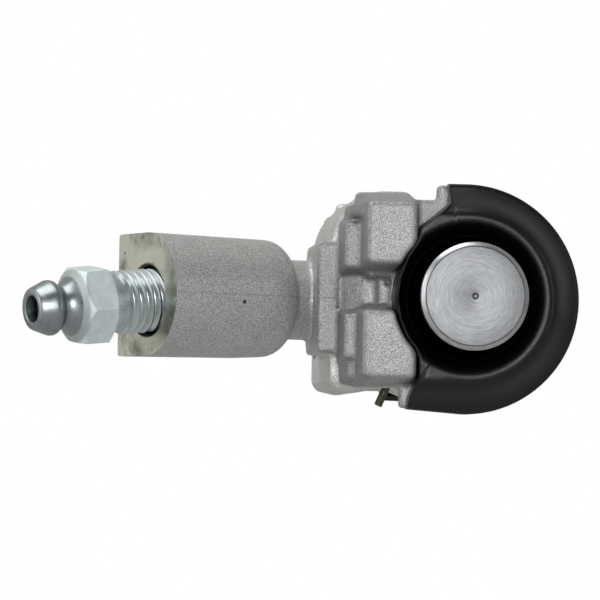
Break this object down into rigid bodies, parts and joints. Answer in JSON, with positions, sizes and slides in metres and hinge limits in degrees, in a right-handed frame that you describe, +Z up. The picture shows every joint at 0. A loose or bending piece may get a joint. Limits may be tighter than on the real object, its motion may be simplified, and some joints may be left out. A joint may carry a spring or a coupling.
{
  "type": "drum brake wheel cylinder",
  "caption": "Double-ended hydraulic drum brake wheel cylinder with a cast body, rubber dust boots, flat-faced pistons and a bleeder screw on a slanted arm.",
  "frame": {"origin": "on the mounting face, half way between the two mounting screw holes, level with the bore's axis", "axes": "+Z up as in the picture, the bore runs along Y with the pictured end at -Y, -X is out of the mounting face towards the arm and the bleeder"},
  "size_m": [0.0876, 0.0692, 0.0362],
  "materials": {
    "cast_alloy": "shot-blasted casting with milled faces",
    "turned_alloy": "fine turned",
    "seal_rubber": "smooth moulded",
    "pressed_steel": "pressed sheet",
    "spring_steel": "drawn wire",
    "boot_rubber": "glossy moulded",
    "plated_steel": "bright zinc plated",
    "dark_steel": "dark wire"
  },
  "bodies": {
    "housing": {"body_casting": "cast_alloy", "return_spring": "spring_steel", "dust_boot_near": "boot_rubber", "dust_boot_far": "boot_rubber", "locating_pin": "dark_steel"},
    "near_piston": {"piston_near": "turned_alloy", "cup_seal_near": "seal_rubber", "cup_expander_near": "pressed_steel"},
    "far_piston": {"piston_far": "turned_alloy", "cup_seal_far": "seal_rubber", "cup_expander_far": "pressed_steel"},
    "bleeder": {"bleeder_screw": "plated_steel"}
  },
  "joints": [
    {"name": "near_piston_slide", "type": "slide", "parent": "housing", "child": "near_piston", "axis": [0, -1, 0], "range_m": [-0.003, 0.005], "deforming": ["dust_boot_near", "return_spring"]},
    {"name": "far_piston_slide", "type": "slide", "parent": "housing", "child": "far_piston", "axis": [0, 1, 0], "range_m": [-0.003, 0.005], "deforming": ["dust_boot_far", "return_spring"]},
    {"name": "bleeder_turn", "type": "hinge", "parent": "housing", "child": "bleeder", "pos_m": [-0.02036, -0.02497, 0], "axis": [-0.8942, -0.4361, -0.1011], "range_deg": [0, 360]}
  ]
}
